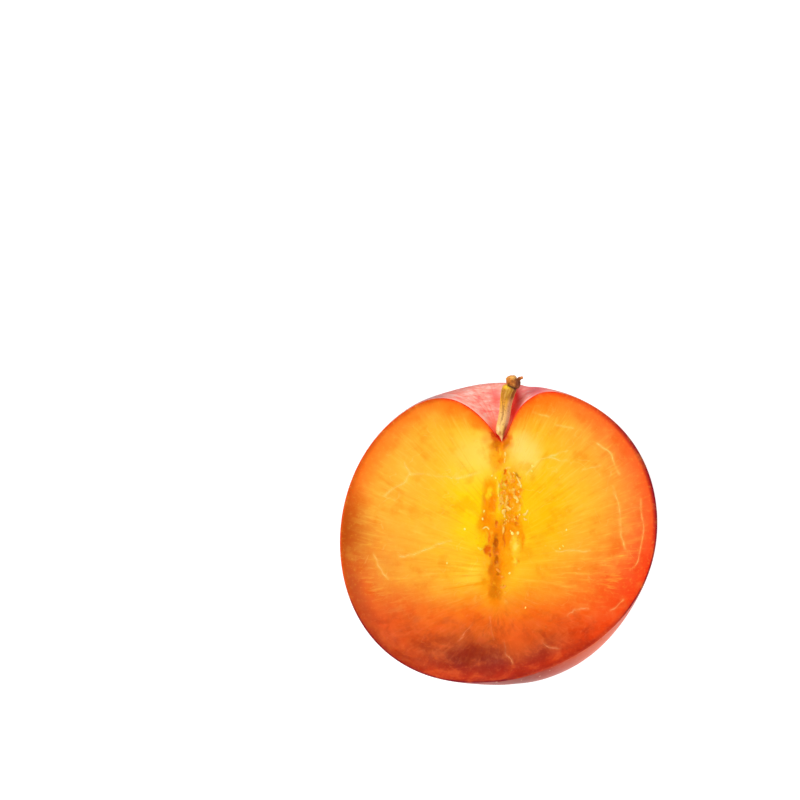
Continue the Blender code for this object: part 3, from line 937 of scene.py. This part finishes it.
# %% Flesh finish
# The pulp is wetter than the flesh round it, so it is smoother to the light.
finish(
    {
        "Base Color": colour,
        "Roughness": ramp(cover, 0.1, 0.8, 0.42, 0.18),
        "IOR": 1.3,
        "Specular IOR Level": 0.14,
        "Subsurface Weight": 0.6,
        "Subsurface Radius": (1.0, 0.38, 0.1),
        "Subsurface Scale": 1.4 * MM,
    },
    maths("ADD", times(fine_fibre, 0.7), times(cells, 0.6)),
    bump_height=0.12 * MM,
    bump_strength=0.5,
)
fruit.data.materials.append(flesh)
print("flesh:", len(bench[-1].nodes), "nodes")

# %% [markdown]
# ## Skin
# The skin is thin, taut and waxy: plum red with paler and greener parts, hundreds of
# tiny pale pores, and a dusty bloom that is thickest in the stem cavity, where nothing
# rubs it off. The pores come from a Voronoi pattern, whose cells each get a dot.

# %% Skin outside the stem cavity
SKIN_CHEEK = (22.0, -20.0, 26.0, 17.0)
SKIN_WASHES = (
    (SKIN_CHEEK, (236, 104, 62), 1.0),
    ((4.0, -28.0, 9.0, 7.0), (150, 62, 44), 0.8),
)
skin = start_material("skin")
where = millimetres()
below = axis(where, "Z")
patches = noise_of(where, 0.055, 3.0, 0.55)
blotches = noise_of(where, 0.35, 4.0, 0.6)
colour = tinge((150, 36, 42), (186, 60, 34), patches, 0.4, 0.62)
colour = tinge(colour, (120, 24, 36), blotches, 0.35, 0.7, 0.5)
colour = tinge(colour, (176, 116, 30), below, 12.0, 2.0, 0.45)
colour = washes(colour, where, *SKIN_WASHES)

# %% [markdown]
# In the cavity the skin is rosy and dabbed with bloom, with a painted highlight along
# the cut's edge, deep red in the well, and a painted shadow of the stem on the wall to
# its right. Light that has gone through the flesh reaches its walls from behind. That
# can't be lit cheaply, so the skin there gets a very weak red glow.

# %% Skin in the stem cavity
CAVITY_WASHES = (
    ((-0.4, 26.3, 2.0, 2.4), (238, 96, 82), 0.8),
    ((-0.9, 27.4, 1.8, 1.5), (236, 104, 98), 0.7),
    # The next two rows are painted shadow of the stem, deep red on the wall to its right.
    ((3.2, 27.0, 2.3, 7.0), (168, 2, 0), 1.0),
    ((2.6, 24.3, 1.8, 4.0), (222, 34, 4), 1.0),
    ((7.0, 28.6, 4.6, 3.4), (200, 76, 88), 0.9),
)
grain = attribute("grain", "Vector")
from_stem = axis(grain, "Z")
in_cavity = ramp(from_stem, 0.46, 0.26)
streaks = noise_of(stretch(grain, 14.0, 14.0, 3.0), 1.0, 4.0, 0.6)
dabs = noise_of(stretch(where, 0.45, 0.9, 0.9), 1.0, 4.0, 0.65)
rosy = tinge((255, 164, 146), (255, 208, 194), dabs, 0.46, 0.66)
rosy = tinge(rosy, (246, 104, 100), dabs, 0.47, 0.33, 0.75)
rosy = tinge(rosy, (248, 106, 92), streaks, 0.5, 0.66, 0.5)
colour = blend(in_cavity, colour, rosy)
colour = tinge(colour, (255, 134, 106), from_stem, 0.15, 0.07, 0.9)
# A painted highlight, pale pink, along the cut's edge on the cavity's wall.
painted_edge_highlight = times(ramp(below, 27.2, 28.8, 0.0, 0.9), ramp(from_stem, 0.08, 0.14))
colour = blend(times(painted_edge_highlight, in_cavity), colour, (255, 200, 184))
colour = tinge(colour, (224, 44, 4), from_stem, 0.065, 0.035)
colour = washes(colour, where, *CAVITY_WASHES)

# %% Pores and bloom
outside = maths("SUBTRACT", 1.0, in_cavity)
cell = add("TexVoronoi", {"Vector": where, "Scale": 0.75}, "Distance")
dot = maths("SUBTRACT", cell, times(noise_of(where, 0.9, 1.0), 0.21))
off_cheek = ramp(oval(where, *SKIN_CHEEK), 0.7, 0.1)
spotted = maths("MAXIMUM", off_cheek, ramp(below, 20.0, 13.0, 0.0, 0.8))
pores = times(times(outside, spotted), ramp(dot, 0.045, 0.0, 0.0, 0.8))
colour = blend(pores, colour, (226, 168, 134))
bloom = noise_of(where, 0.22, 4.0, 0.65)
colour = tinge(colour, (222, 170, 166), bloom, 0.4, 0.75, 0.22, outside)
finish(
    {
        "Base Color": colour,
        "Emission Color": blend(in_cavity, (0, 0, 0), (255, 70, 60)),
        "Emission Strength": 0.08,
        "Roughness": maths("ADD", ramp(bloom, 0.35, 0.7, 0.3, 0.48), times(in_cavity, 0.4)),
        "IOR": 1.3,
        "Specular IOR Level": 0.22,
        "Subsurface Weight": 0.18,
        "Subsurface Radius": (1.0, 0.25, 0.12),
        "Subsurface Scale": 1.2 * MM,
    },
    maths("SUBTRACT", times(blotches, 0.3), pores),
    bump_height=0.05 * MM,
    bump_strength=0.5,
)
fruit.data.materials.append(skin)
print("skin:", len(bench[-1].nodes), "nodes")

# %% [markdown]
# ## Threads and beads
# Bare veins, and the wet shreds that a knife leaves in the hollow, are thin round
# threads. A curve with a bevel draws them quickest: its points are dropped onto the
# fruit, so that each thread lies half sunk in the flesh, and it is then made a mesh.

# %% Thread helpers
TAPER = (0.08, 0.92)
UNEVEN_FINENESS = 1.3
flesh_tree = BVHTree.FromObject(fruit, bpy.context.evaluated_depsgraph_get())
DROP_FROM = 0.1


def drop(x, y):
    """Height of the fruit's surface in metres at a place in mm."""
    hit = flesh_tree.ray_cast(Vector((x * MM, y * MM, DROP_FROM)), Vector((0.0, 0.0, -1.0)))[0]
    return hit.z


def make_threads(name, threads, sides):
    """Threads of (route in mm, radius in mm, lift in mm), tapered to both ends."""
    curve = bpy.data.curves.new(name, "CURVE")
    curve.dimensions = "3D"
    curve.bevel_depth = MM
    curve.bevel_resolution = sides
    curve.use_fill_caps = True
    for route, radius, lift in threads:
        spline = curve.splines.new("POLY")
        spline.points.add(len(route) - 1)
        for i, (x, y) in enumerate(route):
            taper = math.sin(math.pi * mix(*TAPER, i / (len(route) - 1))) ** 0.5
            uneven = noise.noise(Vector((x, y, 5.0)) * UNEVEN_FINENESS)
            z = drop(x, y) + (lift + 0.4 * radius * uneven) * MM
            spline.points[i].co = (x * MM, y * MM, z, 1.0)
            spline.points[i].radius = radius * taper * (1.0 + 0.9 * uneven)
    thing = bpy.data.objects.new(name, curve)
    bpy.context.scene.collection.objects.link(thing)
    pick(thing)
    bpy.ops.object.convert(target="MESH")
    bpy.ops.object.shade_smooth()
    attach(thing, "root")
    print(name, len(thing.data.polygons), "faces")
    return thing


# %% Veins and pulp strands
VEIN_RADIUS = 0.090
VEIN_LIFT = -0.045
STRAND_SINK = 0.55
STRAND_WOBBLE = 0.1
STRAND_FINENESS = 2.2
# Each row is a radius in mm and a route.
STRANDS = (
    (0.15, ((2.1, 13.4), (2.96, 12.4), (3.38, 11.7), (3.87, 10.8))),
    (0.16, ((3.87, 10.7), (3.98, 10.1))),
    (0.17, ((-0.22, 11.0), (-0.34, 9.6), (-0.3, 8.4))),
    (0.3, ((2.5, 8.6), (2.94, 8.25), (3.45, 7.7), (3.18, 7.15))),
    (0.24, ((1.28, 8.6), (1.3, 7.5))),
    (0.36, ((0.52, 5.95), (0.7, 5.3), (0.84, 4.4))),
    (0.22, ((4.3, 4.85), (4.95, 5.1), (5.26, 5.8))),
    (0.13, ((3.82, 6.9), (3.74, 5.7))),
    (0.16, ((0.72, 2.7), (0.7, 2.0), (0.56, 1.35))),
    (0.15, ((-3.3, 2.1), (-2.67, 2.7), (-2.05, 2.05))),
    (0.2, ((-4.2, -1.35), (-3.68, -1.75), (-3.17, -1.5))),
    (0.17, ((0.15, -8.9), (0.65, -9.25), (1.15, -8.75))),
    (0.17, ((-0.75, -5.5), (-0.3, -5.85), (0.1, -6.25))),
    (0.2, ((-1.7, 12.4), (-1.35, 12.6))),
    (0.24, ((-0.92, 12.4), (-0.86, 11.8))),
    (0.16, ((0.75, 14.8), (0.95, 15.9), (0.9, 17.0))),
    (0.22, ((0.55, 10.9), (1.05, 10.6))),
    (0.13, ((1.1, 6.5), (1.6, 6.15), (2.05, 5.95))),
    (0.16, ((2.3, 9.9), (2.8, 9.6))),
    (0.16, ((4.55, 4.3), (4.75, 3.95), (5.15, 3.9))),
)

vein_threads = []
for strength, route in vein_routes:
    vein_threads.append((route, VEIN_RADIUS * strength, VEIN_LIFT * strength))
veins = make_threads("veins", vein_threads, 1)
strand_threads = []
for radius, route in STRANDS:
    route = wander(round_off(route), STRAND_WOBBLE, STRAND_FINENESS)
    strand_threads.append((route, radius, -STRAND_SINK * radius))
strands = make_threads("pulp_strands", strand_threads, 2)


# %% [markdown]
# ## Grains and beads
# Between the strands the pulp is torn into grains, and where juice stands it beads.
# Both are ico spheres, made one by one with a size and a turn of their own, pressed
# flat, sunk in a little and joined into one mesh.

# %% Flattened balls
SINK = 0.12
FLATNESS = 0.4


def press_in(name, places):
    """Flattened balls at (x, y, radius, width, length, turn), joined into one mesh."""
    deselect_all()
    balls = []
    for x, y, radius, width, length, turn in places:
        place = (x * MM, y * MM, drop(x, y) - SINK * radius * MM)
        bpy.ops.mesh.primitive_ico_sphere_add(subdivisions=2, radius=radius * MM, location=place)
        ball = bpy.context.object
        ball.scale = (width, length, FLATNESS)
        ball.rotation_euler = (0.0, 0.0, turn)
        balls.append(ball)
    for ball in balls:
        ball.select_set(True)
    bpy.context.view_layer.objects.active = balls[0]
    bpy.ops.object.join()
    thing = bpy.context.object
    thing.name = name
    bpy.ops.object.transform_apply(location=True, rotation=True, scale=True)
    bpy.ops.object.shade_smooth()
    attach(thing, "root")
    print(name, len(thing.data.polygons), "faces")
    return thing


# %% Grains and beads
GRAIN_COUNT = 44
GRAIN_CENTRE = (2.1, 8.0)
GRAIN_REACH = (1.9, 4.4)
GRAIN_SIZES = (0.14, 0.32)
# Each bead is a place and a radius in mm.
BEADS = (
    (-0.88, 12.0, 0.26), (-1.62, 12.4, 0.18), (6.1, 14.3, 0.32), (5.95, 13.3, 0.24),
    (3.35, 7.55, 0.22), (5.2, 5.65, 0.2), (3.7, 4.95, 0.2), (0.66, 5.5, 0.22),
    (-3.12, 5.55, 0.24), (-3.35, 4.1, 0.24), (2.35, 1.25, 0.34), (3.35, 1.35, 0.3),
    (2.0, 1.75, 0.18), (-3.7, -1.7, 0.22), (1.85, -6.35, 0.26), (-6.75, 2.15, 0.22),
    (-10.1, -4.4, 0.2), (12.6, 2.0, 0.18), (12.0, -1.1, 0.22), (11.4, -1.6, 0.18),
    (1.3, 8.3, 0.2), (1.16, 3.95, 0.16), (2.78, 4.0, 0.16), (4.9, -13.0, 0.18),
    (-9.3, 11.9, 0.18),
)
rng = np.random.default_rng(7)

grain_places = []
for _ in range(GRAIN_COUNT):
    x = GRAIN_CENTRE[0] + GRAIN_REACH[0] * rng.uniform(-1.0, 1.0)
    y = GRAIN_CENTRE[1] + GRAIN_REACH[1] * rng.uniform(-1.0, 1.0)
    size = rng.uniform(*GRAIN_SIZES)
    form = (rng.uniform(0.7, 1.0), rng.uniform(0.9, 1.5), rng.normal(0.0, 0.7))
    grain_places.append((x, y, size, *form))
grains = press_in("pulp_grains", grain_places)
bead_places = []
for bead in BEADS:
    form = (rng.uniform(0.7, 1.0), rng.uniform(0.8, 1.4), rng.uniform(-0.6, 0.6))
    bead_places.append((*bead, *form))
beads = press_in("juice_beads", bead_places)

# %% [markdown]
# A vein has the colour of the flesh it runs through, only paler, so its material lays
# the same washes and then fades into a pale tint. Strands, grains and beads share one
# recipe, from moist to glossy wet. The low strands are deeper orange than the rest.
# The pale cream of the strands and beads is partly their own colour and partly painted
# highlight, where the wet pulp shines.

# %% Vein material
vein_flesh = start_material("vein_flesh")
where = millimetres()
mottle = noise_of(where, 1.4, 3.0)
low_down = ramp(axis(where, "Y"), -7.0, -17.0)
vein_tint = blend(low_down, (255, 226, 124), (250, 154, 96))
fading = ramp(noise_of(where, 0.42, 2.0), 0.36, 0.6, 0.3, 1.0)
fading = times(fading, ramp(mottle, 0.3, 0.7, 0.4, 0.9))
finish(
    {
        "Base Color": blend(fading, flesh_washes(loosen(where)), vein_tint),
        "Roughness": ramp(mottle, 0.3, 0.7, 0.35, 0.5),
        "IOR": 1.3,
        "Specular IOR Level": 0.35,
    },
)
veins.data.materials.append(vein_flesh)

# %% Strand, grain and bead materials
STRAND_WASHES = (
    ((0.2, -7.4, 5.0, 8.0), (255, 146, 20), 1.0),
    ((-3.7, -1.6, 1.6, 1.4), (255, 214, 30), 0.9),
)


def pulp_material(name, first, second, roughness, *rows):
    """Moist, pale pulp whose colour wanders between two, with washes over it."""
    material = start_material(name)
    where = millimetres()
    mottle = noise_of(where, 0.8, 3.0, 0.6)
    finish(
        {
            "Base Color": washes(tinge(first, second, mottle, 0.35, 0.65), where, *rows),
            "Roughness": ramp(mottle, 0.3, 0.7, roughness, roughness + 0.08),
            "IOR": 1.33,
        },
    )
    return material


# The strands' pale cream is partly the shreds' own colour and partly painted highlight, where the
# wet pulp shines.
strand_pulp_and_highlight = pulp_material("strand_pulp_and_highlight", (255, 186, 56), (255, 222, 116), 0.25, *STRAND_WASHES)
grain_pulp = pulp_material("grain_pulp", (255, 152, 12), (255, 194, 74), 0.22)
# The beads' pale cream is partly the juice's own colour and partly painted glint.
bead_juice_and_glint = pulp_material("bead_juice_and_glint", (255, 220, 84), (255, 236, 124), 0.08)
strands.data.materials.append(strand_pulp_and_highlight)
grains.data.materials.append(grain_pulp)
beads.data.materials.append(bead_juice_and_glint)

# %% [markdown]
# ## Stem
# The stem is dry wood with a swollen, knobbly end where it broke off the twig. Its bar
# is a circle that is extruded ring by ring and scaled as it goes. The knob and its side
# bud are a few small balls, and a voxel remesh melts all of it into one skin, the way
# a lump of clay is pressed on. Furrows and bark are then pushed into that skin.

# %% Stem bar
# Each ring is a place along the stem, its middle and its radius in mm.
STEM_RINGS = (
    (19.0, 0.25, 0.1), (19.5, 0.27, 0.24), (19.95, 0.24, 0.42), (20.5, 0.0, 0.74),
    (21.1, 0.06, 0.94), (21.8, 0.22, 1.06), (23.25, 0.62, 1.06), (24.4, 0.8, 1.04),
    (26.2, 0.98, 1.12), (28.0, 1.34, 1.34), (28.9, 1.67, 1.5), (29.4, 1.79, 1.46),
    (29.75, 1.94, 1.28), (30.0, 2.1, 0.8),
)
STEM_LIFT = 0.25
STEM_SIDES = 24

deselect_all()
first_y, first_x, first_radius = STEM_RINGS[0]
foot = (first_x * MM, first_y * MM, CUT_HEIGHT + STEM_LIFT * MM)
bpy.ops.mesh.primitive_circle_add(
    vertices=STEM_SIDES, radius=first_radius * MM, fill_type="NGON",
    location=foot, rotation=(math.radians(90.0), 0.0, 0.0)
)
stem = bpy.context.object
stem.name = "woody_stem"
bpy.ops.object.transform_apply(location=True, rotation=True, scale=True)
bpy.ops.object.mode_set(mode="EDIT")
bpy.ops.mesh.select_all(action="SELECT")
for (y, x, radius), (next_y, next_x, next_radius) in zip(STEM_RINGS, STEM_RINGS[1:]):
    step = ((next_x - x) * MM, (next_y - y) * MM, 0.0)
    bpy.ops.mesh.extrude_region_move(TRANSFORM_OT_translate={"value": step})
    centre = (next_x * MM, next_y * MM, CUT_HEIGHT + STEM_LIFT * MM)
    grow = next_radius / radius
    bpy.ops.transform.resize(value=(grow, grow, grow), center_override=centre)
bpy.ops.mesh.select_all(action="SELECT")
bpy.ops.mesh.normals_make_consistent(inside=False)
bpy.ops.object.mode_set(mode="OBJECT")

# %% Knob and bud
# Each ball is a place across and along, a lift and a radius in mm.
KNOB_BALLS = (
    (2.12, 30.45, 0.05, 1.12), (2.48, 29.85, 0.0, 1.2), (1.58, 30.7, 0.2, 0.66),
    (1.95, 31.05, 0.1, 0.5), (2.5, 30.98, 0.0, 0.56), (3.05, 30.1, 0.05, 0.72),
    (3.52, 30.9, 0.1, 0.38), (3.98, 31.08, 0.12, 0.3), (1.02, 29.1, 0.35, 0.62),
)
VOXEL = 0.07 * MM

for x, y, lift, radius in KNOB_BALLS:
    place = (x * MM, y * MM, CUT_HEIGHT + (STEM_LIFT + lift) * MM)
    bpy.ops.mesh.primitive_ico_sphere_add(subdivisions=3, radius=radius * MM, location=place)
    bpy.context.object.name = "knob_ball"
for thing in bpy.data.objects:
    thing.select_set(thing.name.startswith("knob_ball"))
stem.select_set(True)
bpy.context.view_layer.objects.active = stem
bpy.ops.object.join()
remesh = stem.modifiers.new("melt", "REMESH")
remesh.mode = "VOXEL"
remesh.voxel_size = VOXEL
smooth = stem.modifiers.new("soften", "SMOOTH")
smooth.factor = 0.5
smooth.iterations = 5
bpy.ops.object.modifier_apply(modifier="melt")
bpy.ops.object.modifier_apply(modifier="soften")
print("stem:", len(stem.data.vertices), "vertices")

# %% [markdown]
# Furrows run along the stem, so their noise is read round the stem's own middle line
# and stretched along it. The knob has no grain, only lumps.

# %% Furrows and bark
FURROW_DEPTH = 0.07
FURROWS_ROUND = 2.6
FURROWS_ALONG = 0.22
BARK_DEPTH = 0.03
KNOB_ROUGHNESS = 0.1
KNOB_START = 29.3
KNOB_BLEND = 0.6
GROOVE = ((1.45, 29.8), (3.1, 28.9))
GROOVE_WIDTH = 0.24
GROOVE_DEPTH = 0.22


def off_line(x, y, line):
    """How far a place is from a short line."""
    (ax, ay), (bx, by) = line
    along = ((x - ax) * (bx - ax) + (y - ay) * (by - ay)) / ((bx - ax) ** 2 + (by - ay) ** 2)
    along = min(1.0, max(0.0, along))
    return math.hypot(x - mix(ax, bx, along), y - mix(ay, by, along))


ring_y = [ring[0] for ring in STEM_RINGS]
ring_x = [ring[1] for ring in STEM_RINGS]
normals = [vertex.normal.copy() for vertex in stem.data.vertices]
for name, kind in (("furrow", "FLOAT"), ("groove", "FLOAT"), ("round", "FLOAT_VECTOR")):
    stem.data.attributes.new(name, kind, "POINT")
furrow_layer, groove_layer, round_layer = [
    stem.data.attributes[name] for name in ("furrow", "groove", "round")
]
for vertex, normal in zip(stem.data.vertices, normals):
    x, y, z = vertex.co / MM
    middle = float(np.interp(y, ring_y, ring_x))
    turn = math.atan2(z - CUT_HEIGHT / MM - STEM_LIFT, x - middle)
    side, up = math.cos(turn) * FURROWS_ROUND, math.sin(turn) * FURROWS_ROUND
    around = Vector((side, up, y * FURROWS_ALONG))
    furrow = noise.noise(around) + 0.6 * noise.noise(around * 2.2)
    spot = Vector((x, y, z))
    bark = noise.noise(spot * 2.4) + 0.5 * noise.noise(spot * 5.5)
    on_knob = min(1.0, max(0.0, (y - KNOB_START) / KNOB_BLEND))
    push = mix(FURROW_DEPTH * furrow + BARK_DEPTH * bark, KNOB_ROUGHNESS * bark, on_knob)
    groove = bell(off_line(x, y, GROOVE), GROOVE_WIDTH)
    vertex.co += normal * (push - GROOVE_DEPTH * groove) * MM
    groove_layer.data[vertex.index].value = groove
    furrow_layer.data[vertex.index].value = mix(furrow, bark, on_knob)
    round_layer.data[vertex.index].vector = around
pick(stem)
bpy.ops.object.shade_smooth()
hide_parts("stem")
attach(stem, "root")

# %% [markdown]
# The wood goes from pale, almost bare fibre at the foot to olive bark higher up and
# orange brown on the knob. It is darker on the right, where less light falls, and so
# are its furrows and the groove under the knob.

# %% Stem colours
# Rows one and three are painted highlights, on the bar's shoulder and on the top of the knob; row
# two is painted shade in the gap between the knob and the bud.
STEM_WASHES = (
    ((1.05, 29.45, 1.1, 0.7), (255, 206, 24), 1.0),
    ((3.35, 30.1, 0.85, 1.2), (94, 28, 2), 1.0),
    ((2.3, 31.2, 1.1, 0.6), (255, 190, 96), 0.95),
    ((3.95, 31.25, 0.55, 0.5), (240, 138, 56), 0.95),
    ((-0.1, 20.6, 0.5, 0.8), (196, 112, 30), 0.8),
    ((-0.5, 21.4, 0.5, 1.1), (255, 226, 160), 0.8),
)
wood = start_material("stem_wood")
where = millimetres()
along = axis(where, "Y")
furrow = attribute("furrow")
grain = attribute("round", "Vector")
streak = noise_of(stretch(grain, 1.0, 1.0, 2.0), 1.6, 4.0, 0.6)
speck = noise_of(where, 3.2, 3.0, 0.6)
colour = tinge((252, 196, 112), (232, 160, 40), along, 23.5, 26.6)
colour = tinge(colour, (192, 126, 0), along, 26.4, 27.6)
colour = tinge(colour, (204, 114, 20), along, 29.3, 29.8)
colour = tinge(colour, (248, 178, 120), along, 20.6, 19.2)
right_tint = tinge((140, 66, 10), (216, 148, 112), along, 27.6, 26.4)
right_tint = tinge(right_tint, (176, 74, 26), along, 22.6, 21.4)
colour = tinge(colour, right_tint, axis(grain, "X"), -0.1, 1.9, 0.9)
colour = washes(colour, where, *STEM_WASHES)
colour = tinge(colour, (180, 104, 56), streak, 0.5, 0.64, 0.4)
colour = tinge(colour, (136, 74, 14), speck, 0.54, 0.68, 0.5)
colour = tinge(colour, (136, 72, 20), furrow, -0.26, -0.6, 0.55)
colour = tinge(colour, (255, 206, 90), furrow, 0.25, 0.7, 0.35)
colour = blend(attribute("groove"), colour, (84, 34, 4))
finish(
    {
        "Base Color": colour,
        "Roughness": ramp(speck, 0.3, 0.7, 0.55, 0.8),
        "IOR": 1.4,
        "Subsurface Weight": 0.08,
        "Subsurface Scale": 0.5 * MM,
    },
    maths("ADD", streak, times(speck, 0.8)),
    bump_height=0.08 * MM,
    bump_strength=0.7,
)
stem.data.materials.append(wood)
print("wood:", len(bench[-1].nodes), "nodes")
